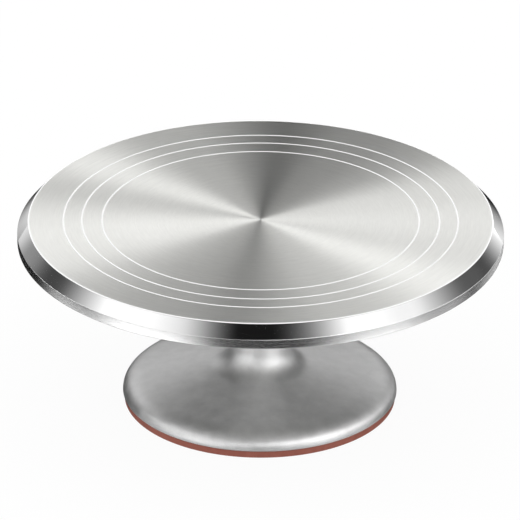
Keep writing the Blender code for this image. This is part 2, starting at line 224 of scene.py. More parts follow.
def feed(tree, shader, **sockets):
    """Links or sets the shader's sockets, named with underscores for spaces."""
    for name, value in sockets.items():
        socket = shader.inputs[name.replace("_", " ")]
        if isinstance(value, bpy.types.NodeSocket):
            tree.links.new(value, socket)
        else:
            socket.default_value = value


def lay_tangent_round_axis(tree, shader, anisotropy):
    """Stretches highlights across the turning marks, which run round +Z."""
    tangent = add_node(tree, "ShaderNodeTangent", direction_type="RADIAL", axis="Z")
    feed(tree, shader, Tangent=tangent.outputs[0])
    feed(tree, shader, Anisotropic=anisotropy, Anisotropic_Rotation=QUARTER_TURN)


# ---------------------------------------------------------------- materials


def turned_face(name, shade, roughness, anisotropy, contrast, lean=0.0):
    """Aluminium faced on a lathe: fine concentric marks of uneven depth. With a lean they
    mirror as if they faced a little outwards, or inwards when it is negative."""
    material, tree, shader = new_material(name, 1.0)
    radius = distance_from_axis(tree)
    fine = line_noise(tree, radius, 0.35 * MM)
    bands = line_noise(tree, radius, 3.2 * MM, offset=7.0)
    streaks = streak_noise(tree, 0.9 * MM, 9)
    cloud = cloud_noise(tree, 60 * MM)
    broken = maths(tree, "MULTIPLY_ADD", streaks, 0.55, maths(tree, "MULTIPLY", fine, 0.25))
    marks = maths(tree, "MULTIPLY_ADD", bands, 0.2, broken)
    dark, light = warm_grey(shade - contrast), warm_grey(min(shade + contrast, 1))
    colour = mix_colours(tree, spread(tree, marks, 0, 1), dark, light)
    uneven = blend(tree, cloud, bands, 0.5)
    rough = spread(tree, uneven, roughness - 0.02, roughness + 0.02)
    feed(tree, shader, Base_Color=colour, Roughness=rough)
    normal = leaning_normal(tree, lean)
    feed(tree, shader, Normal=bump(tree, fine, 0.05, 0.02 * MM, normal))
    lay_tangent_round_axis(tree, shader, anisotropy)
    return material


def polished_bevel():
    """Mirror polish, with the faintest of lathe marks left in it."""
    material, tree, shader = new_material("polished_bevel", 1.0)
    marks = line_noise(tree, height_above_foot(tree), 0.3 * MM)
    rough = spread(tree, marks, 0.05, 0.08)
    haze = cloud_noise(tree, 25 * MM)
    colour = mix_colours(tree, haze, grey(0.9), grey(0.95))
    feed(tree, shader, Base_Color=colour, Roughness=rough)
    return material


def satin_band():
    """The rim's upright side, left as it was turned, with its rings up the height."""
    material, tree, shader = new_material("satin_band", 1.0)
    marks = line_noise(tree, height_above_foot(tree), 0.25 * MM, detail=3.0)
    rough = spread(tree, marks, 0.2, 0.28)
    colour = mix_colours(tree, marks, grey(0.82), grey(0.9))
    feed(tree, shader, Base_Color=colour, Roughness=rough)
    feed(tree, shader, Normal=bump(tree, marks, 0.08, 0.02 * MM))
    return material


def painted_highlight_cut():
    """The engraved circles and the deburred edge, in a near-white, nearly matt material: a painted
    highlight for the bright lines that the metal's edge and grooves show."""
    material, tree, shader = new_material("painted_highlight_cut", 0.05)
    marks = cloud_noise(tree, 1.5 * MM)
    colour = mix_colours(tree, marks, grey(0.9), grey(0.97))
    feed(tree, shader, Base_Color=colour, Roughness=0.5)
    return material


def blasted_casting():
    """Bead-blasted cast aluminium: a fine even grain with faint clouds."""
    material, tree, shader = new_material("blasted_casting", 1.0)
    grain = cloud_noise(tree, 0.45 * MM, detail=4.0, roughness=0.7)
    mottle = cloud_noise(tree, 9 * MM, detail=4.0)
    uneven = blend(tree, grain, mottle, 0.45)
    colour = mix_colours(tree, spread(tree, uneven, 0, 1, 0.15), grey(0.78), grey(0.93))
    rough = spread(tree, mottle, 0.47, 0.53)
    feed(tree, shader, Base_Color=colour, Roughness=rough)
    feed(tree, shader, Normal=bump(tree, grain, 0.35, 0.05 * MM))
    return material


def machined_aluminium():
    """Bored and faced aluminium, with rings left by the tool on its walls and its faces."""
    material, tree, shader = new_material("machined_aluminium", 1.0)
    marks = line_noise(tree, height_above_foot(tree), 0.4 * MM)
    rings = line_noise(tree, distance_from_axis(tree), 0.4 * MM)
    both = maths(tree, "MULTIPLY", marks, rings)
    colour = mix_colours(tree, spread_product(tree, both, 0, 1), grey(0.68), grey(0.84))
    rough = spread_product(tree, both, 0.22, 0.32)
    feed(tree, shader, Base_Color=colour, Roughness=rough)
    feed(tree, shader, Normal=bump(tree, both, 0.1, 0.03 * MM))
    return material


def ground_steel():
    """A ground shaft: fine rings along its length, slightly warm."""
    material, tree, shader = new_material("ground_steel", 1.0)
    marks = line_noise(tree, height_above_foot(tree), 0.2 * MM, detail=3.0)
    cloud = cloud_noise(tree, 15 * MM)
    colour = mix_colours(tree, marks, (0.55, 0.54, 0.52, 1), (0.68, 0.67, 0.65, 1))
    rough = spread(tree, cloud, 0.18, 0.26)
    feed(tree, shader, Base_Color=colour, Roughness=rough)
    feed(tree, shader, Normal=bump(tree, marks, 0.08, 0.02 * MM))
    return material


def bearing_steel():
    """Hardened and polished bearing steel with a film of grease."""
    material, tree, shader = new_material("bearing_steel", 1.0)
    film = cloud_noise(tree, 3 * MM)
    marks = line_noise(tree, distance_from_axis(tree), 0.3 * MM)
    colour = mix_colours(tree, film, (0.62, 0.62, 0.63, 1), (0.72, 0.72, 0.73, 1))
    rough = spread_product(tree, maths(tree, "MULTIPLY", film, marks), 0.08, 0.2)
    feed(tree, shader, Base_Color=colour, Roughness=rough, Coat_Weight=0.2, Coat_Roughness=0.1)
    return material


def pressed_sheet():
    """Zinc-plated sheet, pressed, with a slightly wavy skin."""
    material, tree, shader = new_material("pressed_sheet", 1.0)
    wave = cloud_noise(tree, 2.5 * MM)
    grain = cloud_noise(tree, 0.2 * MM)
    colour = mix_colours(tree, wave, (0.5, 0.5, 0.51, 1), (0.62, 0.62, 0.64, 1))
    feed(tree, shader, Base_Color=colour, Roughness=spread(tree, grain, 0.28, 0.38))
    feed(tree, shader, Normal=bump(tree, wave, 0.15, 0.05 * MM))
    return material


def blackened_spring_steel():
    """Spring steel under a thin black oxide."""
    material, tree, shader = new_material("blackened_spring_steel", 0.6)
    scale = cloud_noise(tree, 0.8 * MM, detail=4.0)
    colour = mix_colours(tree, scale, (0.02, 0.02, 0.022, 1), (0.06, 0.058, 0.056, 1))
    feed(tree, shader, Base_Color=colour, Roughness=spread(tree, scale, 0.35, 0.5))
    feed(tree, shader, Normal=bump(tree, scale, 0.1, 0.02 * MM))
    return material


def zinc_plate():
    """Bright zinc on the screws, faintly blue, a little uneven."""
    material, tree, shader = new_material("zinc_plate", 1.0)
    cloud = cloud_noise(tree, 2 * MM, detail=4.0)
    colour = mix_colours(tree, cloud, (0.5, 0.52, 0.56, 1), (0.68, 0.69, 0.71, 1))
    feed(tree, shader, Base_Color=colour, Roughness=spread(tree, cloud, 0.2, 0.34))
    return material


def moulded_nylon():
    """Undyed nylon: yellowish, and letting a little light through."""
    material, tree, shader = new_material("moulded_nylon", 0.0, ior=1.53)
    grain = cloud_noise(tree, 0.5 * MM)
    colour = mix_colours(tree, grain, (0.62, 0.55, 0.38, 1), (0.7, 0.63, 0.46, 1))
    feed(tree, shader, Base_Color=colour, Roughness=spread(tree, grain, 0.4, 0.55))
    feed(tree, shader, Subsurface_Weight=0.1, Subsurface_Scale=1 * MM)
    return material


def foot_silicone():
    """Matt red-brown silicone with a fine skin and slightly paler patches."""
    material, tree, shader = new_material("foot_silicone", 0.0, ior=1.41)
    grain = cloud_noise(tree, 0.3 * MM, detail=4.0)
    patches = cloud_noise(tree, 6 * MM)
    uneven = blend(tree, grain, patches, 0.3)
    dark = (0.235, 0.07, 0.048, 1)
    light = (0.285, 0.09, 0.064, 1)
    colour = mix_colours(tree, spread(tree, uneven, 0, 1, 0.15), dark, light)
    feed(tree, shader, Base_Color=colour, Roughness=spread(tree, grain, 0.55, 0.7))
    feed(tree, shader, Normal=bump(tree, grain, 0.15, 0.03 * MM), Specular_IOR_Level=0.35)
    return material


# ---------------------------------------------------------------- turned meshes


def at(radius, height, rounding=0.0, finish=0, edge=None):
    """A profile corner in millimetres. finish is the material slot of the stretch after it,
    and edge that of its own rounded part."""
    return radius, height, rounding, finish, finish if edge is None else edge


def rounded_corner(before, here, after, rounding):
    """The points that round a corner. A guard point just past each end keeps the flats
    beside it shaded flat."""
    back = before - here
    ahead = after - here
    half = back.angle(ahead) / 2
    reach = rounding / math.tan(half)
    centre = here + (back.normalized() + ahead.normalized()).normalized() * rounding / math.sin(half)
    start = here + back.normalized() * reach
    end = here + ahead.normalized() * reach
    guard = 0.3 * rounding
    most = 0.25  # of the straight beside the corner
    first = (start - centre).normalized()
    last = (end - centre).normalized()
    turn = math.pi - 2 * half
    count = max(2, math.ceil(turn / ARC_STEP))
    points = [start + back.normalized() * min(guard, most * (back.length - reach))]
    for i in range(count + 1):
        share = i / count
        arm = math.sin((1 - share) * turn) * first + math.sin(share * turn) * last
        points.append(centre + arm / math.sin(turn) * rounding)
    points.append(end + ahead.normalized() * min(guard, most * (ahead.length - reach)))
    return points


def outline(corners, closed):
    """Profile points in metres, and the material slot of the stretch after each."""
    points, finishes = [], []
    for i, (radius, height, rounding, finish, edge) in enumerate(corners):
        here = Vector((radius, height))
        if rounding:
            before = Vector(corners[i - 1][:2])
            after = Vector(corners[(i + 1) % len(corners)][:2])
            curve = rounded_corner(before, here, after, rounding)
            points += curve
            finishes += [edge] * (len(curve) - 2) + [finish] * 2
        else:
            points.append(here)
            finishes.append(finish)
    if not closed:
        finishes.pop()
    return [point * MM for point in points], finishes


def finished_mesh(name, bm):
    mesh = bpy.data.meshes.new(name)
    bm.to_mesh(mesh)
    bm.free()
    return mesh


def add_piece(name, mesh, materials):
    obj = bpy.data.objects.new(name, mesh)
    bpy.context.scene.collection.objects.link(obj)
    for material in materials:
        mesh.materials.append(material)
    return obj


def shade(mesh):
    mesh.shade_smooth()
    mesh.set_sharp_from_angle(angle=SHARP_ANGLE)


def lathe(name, corners, steps, materials, closed=True):
    """A profile that runs down its outer side, turned about +Z into one mesh. One that isn't
    closed starts and ends on the axis."""
    points, finishes = outline(corners, closed)
    vertices, rings = [], []
    for radius, height in points:
        on_axis = radius < 1e-4 * MM
        ring = []
        for j in range(1 if on_axis else steps):
            angle = FULL_TURN * j / steps
            ring.append(len(vertices))
            vertices.append((radius * math.cos(angle), radius * math.sin(angle), height))
        rings.append(ring * steps if on_axis else ring)
    faces, slots = [], []
    for i, finish in enumerate(finishes):
        upper, lower = rings[i], rings[(i + 1) % len(rings)]
        for j in range(steps):
            k = (j + 1) % steps
            loop = (upper[j], lower[j], lower[k], upper[k])
            faces.append(tuple(dict.fromkeys(loop)))
            slots.append(finish)
    mesh = bpy.data.meshes.new(name)
    mesh.from_pydata(vertices, [], faces)
    mesh.polygons.foreach_set("material_index", slots)
    shade(mesh)
    return add_piece(name, mesh, materials)


def cylinder_cutter(places, radius, length, steps):
    """One object of separate cylinders, each along the local Z of a matrix in places."""
    bm = bmesh.new()
    for place in places:
        bmesh.ops.create_cone(
            bm,
            cap_ends=True,
            segments=steps,
            radius1=radius * MM,
            radius2=radius * MM,
            depth=length * MM,
            matrix=place,
        )
    return add_piece("cutter", finished_mesh("cutter", bm), [])


def carve(obj, cutter):
    """Cuts cutter out of obj for good, and removes the cutter."""
    boolean = obj.modifiers.new("carve", "BOOLEAN")
    boolean.operation = "DIFFERENCE"
    boolean.solver = "EXACT"
    boolean.object = cutter
    graph = bpy.context.evaluated_depsgraph_get()
    mesh = bpy.data.meshes.new_from_object(obj.evaluated_get(graph))
    obj.modifiers.clear()
    obj.data = mesh
    bpy.data.objects.remove(cutter)
    shade(mesh)


def around(count, radius, height, phase=0.0):
    """Angles and centres, in metres, of pieces spaced evenly on a circle about +Z."""
    for i in range(count):
        angle = phase + FULL_TURN * i / count
        yield angle, Vector((radius * math.cos(angle), radius * math.sin(angle), height)) * MM


def settle(piece, body, slot, *nodes):
    """Gives a finished piece its body and hides the CAD nodes it stands for. slot is not used."""
    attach(piece, body)
    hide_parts(*nodes)


class Extent:
    """A CAD node's outer radius and its lowest, highest and middle height, in millimetres,
    and its centre in metres."""

    def __init__(self, node):
        low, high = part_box(node)
        self.low = low.z / MM
        self.high = high.z / MM
        self.middle = (self.low + self.high) / 2
        self.centre = (low + high) / 2
        self.radius = (high.x - low.x) / 2 / MM


# ---------------------------------------------------------------- the plate and its hub

# Sizes from here on are in millimetres
TOP_FACE, PAINTED_HIGHLIGHT_CUT, BEVEL, BAND, UNDERSIDE = range(5)  # the plate's material slots
BEVEL_RUN = 7.0
BEVEL_DROP = 8.1
CAKE_CIRCLES = (101.0, 113.9, 125.7)
CIRCLE_HALF_WIDTH = 0.58
CIRCLE_FLOOR = 0.1  # half the width of the groove's floor
CIRCLE_DEPTH = 0.42  # steep enough for the groove's walls to be shaded apart from the face
EDGE_ROUND = 0.9  # of the deburred edge between the face and the bevel
RIM_WALL = 4.5
WEB = 3.0
BOSS_RADIUS = 36.0
BOSS_CHAMFER = 2.5
SCREW_COUNT = 4
SCREW_CIRCLE = 23.0  # radius of the circle that the screws stand on
SCREW_SHANK = 2.5  # radius
SCREW_HEAD = 4.75  # radius
SCREW_HEAD_HEIGHT = 2.6
CLEARANCE = 0.3  # the gap left between neighbouring pieces, so that they don't meet


def screw_places(height):
    places = around(SCREW_COUNT, SCREW_CIRCLE, height, phase=math.pi / 4)
    return [Matrix.Translation(place) for _, place in places]


def cake_circle(radius, top):
    """An engraved circle: a narrow groove with sloping walls, made bright with painted highlight,
    then the face again.
    """
    return [
        at(radius - CIRCLE_HALF_WIDTH, top, 0, PAINTED_HIGHLIGHT_CUT),
        at(radius - CIRCLE_FLOOR, top - CIRCLE_DEPTH, 0, PAINTED_HIGHLIGHT_CUT),
        at(radius + CIRCLE_FLOOR, top - CIRCLE_DEPTH, 0, PAINTED_HIGHLIGHT_CUT),
        at(radius + CIRCLE_HALF_WIDTH, top, 0, TOP_FACE),
    ]


def build_plate():
    plate = Extent("turntable_plate")
    flange = Extent("hub_flange")
    spindle = Extent("spindle")
    boss_bottom = flange.high + CLEARANCE
    face_radius = plate.radius - BEVEL_RUN
    web_bottom = plate.high - WEB
    wall = plate.radius - RIM_WALL
    inner_run = 5.3  # the bevel's inner side, behind the bevel and as steep
    inner_drop = inner_run * BEVEL_DROP / BEVEL_RUN
    recess = spindle.radius + CLEARANCE
    hole_depth, hole_middle = 6, web_bottom - 3
    corners = [at(0, plate.high, 0, TOP_FACE)]
    for radius in CAKE_CIRCLES:
        corners += cake_circle(radius, plate.high)
    corners += [
        # The rounded edge between the face and the bevel is near-white painted highlight.
        at(face_radius, plate.high, EDGE_ROUND, BEVEL, PAINTED_HIGHLIGHT_CUT),
        at(plate.radius, plate.high - BEVEL_DROP, 0.3, BAND, BEVEL),
        at(plate.radius, plate.low, 0.7, UNDERSIDE, BAND),
        at(wall, plate.low, 0.4, UNDERSIDE),
        at(wall, web_bottom - inner_drop, 2.0, UNDERSIDE),
        at(wall - inner_run, web_bottom, 2.0, UNDERSIDE),
        at(BOSS_RADIUS + BOSS_CHAMFER, web_bottom, 1.5, UNDERSIDE),
        at(BOSS_RADIUS, web_bottom - BOSS_CHAMFER, 1.0, UNDERSIDE),
        at(BOSS_RADIUS, boss_bottom, 0.5, UNDERSIDE),
        at(recess, boss_bottom, 0.2, UNDERSIDE),
        at(recess, spindle.high + CLEARANCE, 0.0, UNDERSIDE),
        at(0, spindle.high + CLEARANCE),
    ]
    materials = [
        turned_face(
            "turned_face",
            shade=0.9,
            roughness=0.5,
            anisotropy=0.95,
            contrast=0.045,
            lean=math.radians(-6),
        ),
        painted_highlight_cut(),
        polished_bevel(),
        satin_band(),
        # The underside's colour is darker than the face's: painted shade under the plate, which the
        # pedestal's cone mirrors.
        turned_face(
            "turned_underside",
            shade=0.72,
            roughness=0.45,
            anisotropy=0.6,
            contrast=0.04,
        ),
    ]
    piece = lathe("turntable_plate_turned", corners, PLATE_STEPS, materials, closed=False)
    holes = screw_places(hole_middle)
    carve(piece, cylinder_cutter(holes, SCREW_SHANK + CLEARANCE, hole_depth, SCREW_STEPS))
    settle(piece, "turntable", "turned_aluminium", "turntable_plate")


def build_flange():
    flange = Extent("hub_flange")
    bore = 8.1
    right_through = 10  # longer than the flange is thick
    corners = [
        at(flange.radius, flange.high, 0.3),
        at(flange.radius, flange.low, 0.9),
        at(bore, flange.low, 0.5),
        at(bore, flange.high, 0.3),
    ]
    piece = lathe("hub_flange_turned", corners, HUB_STEPS, [machined_aluminium()])
    shanks = screw_places(flange.middle)
    carve(piece, cylinder_cutter(shanks, SCREW_SHANK + CLEARANCE, right_through, SCREW_STEPS))
    recess_top = Extent("hub_screw_1").low + SCREW_HEAD_HEIGHT + CLEARANCE
    recess_depth = 2 * (recess_top - flange.low)
    heads = screw_places(flange.low)
    carve(piece, cylinder_cutter(heads, SCREW_HEAD + CLEARANCE, recess_depth, SCREW_STEPS))
    settle(piece, "turntable", "cast_aluminium", "hub_flange")


def thread(radius, top, bottom, pitch, depth):
    """The rings of a fine thread, as a row of ridges down the profile."""
    corners = []
    height = top
    while height - pitch > bottom:
        corners.append(at(radius - depth, height))
        corners.append(at(radius, height - pitch / 2))
        height -= pitch
    return corners


def build_screws():
    material = zinc_plate()
    neck = SCREW_SHANK - 0.2
    socket_radius, socket_depth = 1.75, 1.6
    for number in range(1, SCREW_COUNT + 1):
        node = f"hub_screw_{number}"
        screw = Extent(node)
        head_top = screw.low + SCREW_HEAD_HEIGHT
        corners = [
            at(0, screw.high),
            at(SCREW_SHANK - 0.5, screw.high, 0.1),
            *thread(SCREW_SHANK, screw.high - 0.5, head_top + 1.2, pitch=0.8, depth=0.4),
            at(neck, head_top + 0.6),
            at(neck, head_top),
            at(SCREW_HEAD, head_top, 0.15),
            at(SCREW_HEAD, screw.low, 1.0),
            at(0, screw.low),
        ]
        piece = lathe(f"{node}_zinc", corners, SCREW_STEPS, [material], closed=False)
        socket = Matrix.Translation((0, 0, screw.low * MM))
        carve(piece, cylinder_cutter([socket], socket_radius, 2 * socket_depth, SOCKET_SIDES))
        piece.location = (screw.centre.x, screw.centre.y, 0)
        settle(piece, "turntable", "screw_steel", node)


def build_spindle():
    spindle = Extent("spindle")
    shoulder_radius, shank_radius = 7.8, 5.8
    relief_radius, relief_length = shank_radius - 0.15, 1.2
    chamfer = 1.2
    centre_hole_radius, centre_hole_depth = 1.2, 0.7
    head_bottom = Extent("hub_flange").high + CLEARANCE
    shoulder = Extent("upper_inner_ring").high + CLEARANCE
    corners = [
        at(0, spindle.high),
        at(spindle.radius, spindle.high, 0.4),
        at(spindle.radius, head_bottom, 0.4),
        at(shoulder_radius, head_bottom),
        at(shoulder_radius, shoulder, 0.3),
        at(relief_radius, shoulder),
        at(relief_radius, shoulder - relief_length),
        at(shank_radius, shoulder - relief_length - 0.3),
        at(shank_radius, spindle.low + chamfer, 0.3),
        at(shank_radius - chamfer, spindle.low, 0.2),
        at(centre_hole_radius, spindle.low),
        at(0, spindle.low + centre_hole_depth),
    ]
    piece = lathe("spindle_ground", corners, BEARING_STEPS, [ground_steel()], closed=False)
    settle(piece, "turntable", "spindle_steel", "spindle")


# ---------------------------------------------------------------- bearings and retaining rings

PITCH_CIRCLE = 10.0  # radius of the circle of the balls' centres
BALL = 2.38  # radius
POCKET = 2.6  # radius of the cage's pockets
RACE = 2.58  # radius of the raceways' section
SHOULDER = 1.9  # from the pitch circle to the raceways' shoulders
SHIELD_STEP = 0.8
RING_BORE = 6.0
BALL_COUNT = 8


def race_points(middle, side):
    """The raceway's arc between its shoulders: side is 1 on the outer ring, -1 on the inner."""
    half = math.acos(SHOULDER / RACE)
    angles = [-half + 2 * half * i / RACE_STEPS for i in range(RACE_STEPS + 1)]
    if side < 0:
        angles.reverse()
    return [
        at(PITCH_CIRCLE + side * RACE * math.cos(a), middle + RACE * math.sin(a)) for a in angles
    ]


def build_outer_ring(side, steel):
    ring = Extent(f"{side}_outer_ring")
    shoulder = PITCH_CIRCLE + SHOULDER
    step = shoulder + SHIELD_STEP
    corners = [
        at(ring.radius, ring.high, 0.4),
        at(ring.radius, ring.low, 0.4),
        at(step, ring.low, 0.15),
        at(step, ring.low + SHIELD_STEP),
        at(shoulder, ring.low + SHIELD_STEP),
        *race_points(ring.middle, 1),
        at(shoulder, ring.high - SHIELD_STEP),
        at(step, ring.high - SHIELD_STEP),
        at(step, ring.high, 0.15),
    ]
    piece = lathe(f"{side}_outer_ring_ground", corners, BEARING_STEPS, [steel])
    settle(piece, "base", "bearing_steel", f"{side}_outer_ring")


def build_inner_ring(side, steel):
    ring = Extent(f"{side}_inner_ring")
    corners = [
        at(ring.radius, ring.high, 0.15),
        *race_points(ring.middle, -1),
        at(ring.radius, ring.low, 0.15),
        at(RING_BORE, ring.low, 0.4),
        at(RING_BORE, ring.high, 0.4),
    ]
    piece = lathe(f"{side}_inner_ring_ground", corners, BEARING_STEPS, [steel])
    settle(piece, "inner_races", "bearing_steel", f"{side}_inner_ring")


def build_shield(side, face, sheet):
    """A thin pressed disc with a low ridge round it, near its inner edge."""
    node = f"{side}_shield_{face}"
    shield = Extent(node)
    inner, edge = 8.45, 0.08
    ridge, plain = 1.2, 1.4  # how far outwards the ridge's top is, and the flat after it
    thin = (shield.high - shield.low) / 2
    disc_rise, ridge_rise = (0, thin) if face == "top" else (thin, 0)
    section = [(0, disc_rise), (ridge, ridge_rise), (plain, disc_rise)]
    lower = [at(inner + run, shield.low + rise) for run, rise in section]
    upper = [at(inner + run, shield.low + rise + thin) for run, rise in section]
    outer_top = at(shield.radius, upper[-1][1], edge)
    outer_bottom = at(shield.radius, lower[-1][1], edge)
    corners = [outer_top, outer_bottom, *reversed(lower), *upper]
    piece = lathe(f"{node}_pressed", corners, BEARING_STEPS, [sheet])
    settle(piece, "base", "shield_steel", node)


def plain_ring(extent, bore, rounding):
    """A ring's section with all four corners rounded alike."""
    return [
        at(extent.radius, extent.high, rounding),
        at(extent.radius, extent.low, rounding),
        at(bore, extent.low, rounding),
        at(bore, extent.high, rounding),
    ]


def build_cage(side, nylon):
    """A crown cage: a ring with a round pocket for each ball, open at the top."""
    cage = Extent(f"{side}_cage")
    centre = Extent(f"{side}_outer_ring").middle
    inner = 2 * PITCH_CIRCLE - cage.radius
    right_through = 6  # longer than the cage is wide
    corners = plain_ring(cage, inner, 0.2)
    piece = lathe(f"{side}_cage_moulded", corners, BEARING_STEPS, [nylon])
    pockets = [
        Matrix.Translation(place)
        @ Matrix.Rotation(angle, 4, "Z")
        @ Matrix.Rotation(math.pi / 2, 4, "Y")
        for angle, place in around(BALL_COUNT, PITCH_CIRCLE, centre)
    ]
    carve(piece, cylinder_cutter(pockets, POCKET, right_through, POCKET_STEPS))
    settle(piece, f"{side}_balls", "nylon", f"{side}_cage")


def build_balls(side, steel):
    angles = [math.pi * i / BALL_RINGS for i in range(BALL_RINGS + 1)]
    corners = [at(BALL * math.sin(a), BALL * math.cos(a)) for a in angles]
    for number in range(1, BALL_COUNT + 1):
        node = f"{side}_ball_{number}"
        piece = lathe(f"{node}_polished", corners, BALL_STEPS, [steel], closed=False)
        piece.location = Extent(node).centre
        settle(piece, f"{side}_balls", "bearing_steel", node)


def build_circlip(side, material):
    """A flat C of spring steel that widens at each end into an ear with an eye."""
    node = f"{side}_circlip"
    clip = Extent(node)
    outer, width, ear_radius, eye = 15.3, 2.4, 1.7, 0.8
    opening = math.radians(24)  # from +X to each end
    ear_circle = outer - ear_radius - width / 2
    ear = math.asin(ear_radius / ear_circle)  # half the angle that an ear takes up
    fade = 2.5 * ear  # the angle over which an ear runs out into the ring
    ear_depth = 2 * ear_radius - width / 2  # how far an ear stands in from the ring
    outside, inside = [], []
    for i in range(CIRCLIP_STEPS + 1):
        angle = opening + (FULL_TURN - 2 * opening) * i / CIRCLIP_STEPS
        from_end = min(angle - opening, FULL_TURN - opening - angle)
        swell = max(0.0, 1 - max(from_end - 2 * ear, 0) / fade) ** 2
        reach = outer - width - swell * ear_depth
        outside.append((outer * math.cos(angle), outer * math.sin(angle)))
        inside.append((reach * math.cos(angle), reach * math.sin(angle)))
    curve = bpy.data.curves.new(node, "CURVE")
    curve.dimensions = "2D"
    curve.fill_mode = "BOTH"
    curve.extrude = (clip.high - clip.low) / 2 * MM
    loops = [outside + inside[::-1]]
    turns = [FULL_TURN * i / EYE_STEPS for i in range(EYE_STEPS)]
    for angle in (opening + ear, FULL_TURN - opening - ear):
        x, y = ear_circle * math.cos(angle), ear_circle * math.sin(angle)
        loops.append([(x + eye * math.cos(t), y + eye * math.sin(t)) for t in turns])
    for loop in loops:
        spline = curve.splines.new("POLY")
        spline.points.add(len(loop) - 1)
        for point, (x, y) in zip(spline.points, loop):
            point.co = (x * MM, y * MM, 0, 1)
        spline.use_cyclic_u = True
    drawn = bpy.data.objects.new(node + "_curve", curve)
    bpy.context.scene.collection.objects.link(drawn)
    graph = bpy.context.evaluated_depsgraph_get()
    mesh = bpy.data.meshes.new_from_object(drawn.evaluated_get(graph))
    bpy.data.objects.remove(drawn)
    bm = bmesh.new()
    bm.from_mesh(mesh)
    bmesh.ops.remove_doubles(bm, verts=bm.verts, dist=0.001 * MM)
    bm.to_mesh(mesh)
    bm.free()
    mesh.materials.clear()
    shade(mesh)
    piece = add_piece(f"{node}_sprung", mesh, [material])
    piece.location.z = clip.middle * MM
    settle(piece, "base", "spring_steel", node)


def build_spacer(steel):
    corners = plain_ring(Extent("spacer_sleeve"), RING_BORE, 0.3)
    piece = lathe("spacer_sleeve_turned", corners, BEARING_STEPS, [steel])
    settle(piece, "inner_races", "spindle_steel", "spacer_sleeve")


def build_bearings():
    steel, sheet, nylon = bearing_steel(), pressed_sheet(), moulded_nylon()
    spring_steel = blackened_spring_steel()
    for side in ("upper", "lower"):
        build_outer_ring(side, steel)
        build_inner_ring(side, steel)
        build_shield(side, "top", sheet)
        build_shield(side, "bottom", sheet)
        build_cage(side, nylon)
        build_balls(side, steel)
        build_circlip(side, spring_steel)
    build_spacer(ground_steel())


# ---------------------------------------------------------------- the pedestal and its foot

NECK = 19.0  # radius
FLARE = 17.0  # radius of the flare's section
CAST_WALL = 4.2
CONE_FOOT = (72.8, 16.7)  # radius and height where the cone ends and the lip starts
CONE_TANGENT = 0.1705  # how steeply the cone falls
LIP_CORNER = 0.5
TONGUE_INNER = 82.2  # the foot ring's tongue, which the pedestal's groove holds
TONGUE_OUTER = 84.8


def flare_arc(radius, count):
    """Points of the flare from the neck down to the cone, at a radius about its centre."""
    slope = math.atan(CONE_TANGENT)
    centre_radius = NECK + FLARE
    rise = (CONE_FOOT[0] - centre_radius) * CONE_TANGENT + FLARE / math.cos(slope)
    centre_height = CONE_FOOT[1] + rise
    end = math.pi / 2 - slope
    angles = [end * i / count for i in range(count + 1)]
    return [
        at(centre_radius - radius * math.cos(a), centre_height - radius * math.sin(a))
        for a in angles
    ]


def lip_arc(lip_radius, lip_bottom, count):
    """From the cone's lower edge, round and down to the lip's lower corner."""
    start = Vector(CONE_FOOT)
    bend = Vector((lip_radius, CONE_FOOT[1] - (lip_radius - CONE_FOOT[0]) * CONE_TANGENT))
    end = Vector((lip_radius, lip_bottom + LIP_CORNER))
    shares = [i / count for i in range(count + 1)]
    curve = [(1 - t) ** 2 * start + 2 * t * (1 - t) * bend + t**2 * end for t in shares]
    return [at(*point) for point in curve]


def build_pedestal():
    cast, machined = range(2)
    pedestal = Extent("pedestal")
    foot = Extent("foot_ring")
    seat, shoulder, groove = 14.3, 12.6, 15.6  # radii of the bore's steps
    upper_clip, lower_clip = Extent("upper_circlip"), Extent("lower_circlip")
    upper_seat = Extent("upper_outer_ring").low - CLEARANCE
    lower_seat = Extent("lower_outer_ring").high + CLEARANCE
    lip_inner = 79.3
    slot_top, slot_bottom = foot.high + CLEARANCE, pedestal.low
    inner_flare = flare_arc(FLARE + CAST_WALL, INNER_FLARE_STEPS)[::-1]
    cone_end = inner_flare[0]
    lip_ceiling = cone_end[1] - (lip_inner - cone_end[0]) * CONE_TANGENT
    tongue_slot = [
        (TONGUE_OUTER + CLEARANCE, slot_bottom),
        (TONGUE_OUTER + CLEARANCE, slot_top),
        (TONGUE_INNER - CLEARANCE, slot_top),
        (TONGUE_INNER - CLEARANCE, slot_bottom),
    ]
    bore = [
        (inner_flare[-1][0], lower_clip.low - CLEARANCE),
        (groove, lower_clip.low - CLEARANCE),
        (groove, lower_clip.high + CLEARANCE),
        (seat, lower_clip.high + CLEARANCE),
        (seat, lower_seat),
        (shoulder, lower_seat),
        (shoulder, upper_seat),
        (seat, upper_seat),
        (seat, upper_clip.low - CLEARANCE),
        (groove, upper_clip.low - CLEARANCE),
        (groove, upper_clip.high + CLEARANCE),
        (seat, upper_clip.high + CLEARANCE),
    ]
    corners = [
        at(NECK, pedestal.high, 0.8, cast),
        *flare_arc(FLARE, FLARE_STEPS),
        *lip_arc(pedestal.radius, pedestal.low, LIP_STEPS),
        at(pedestal.radius - LIP_CORNER, pedestal.low, 0, cast),
        *[at(*point, 0, machined) for point in tongue_slot],
        at(lip_inner, pedestal.low, 0.5, cast),
        at(lip_inner, lip_ceiling, 1.5, cast),
        *inner_flare,
        *[at(*point, 0, machined) for point in bore],
        at(seat, pedestal.high, 0.4, machined),
    ]
    materials = [blasted_casting(), machined_aluminium()]
    piece = lathe("pedestal_cast", corners, PEDESTAL_STEPS, materials)
    settle(piece, "base", "cast_aluminium", "pedestal")


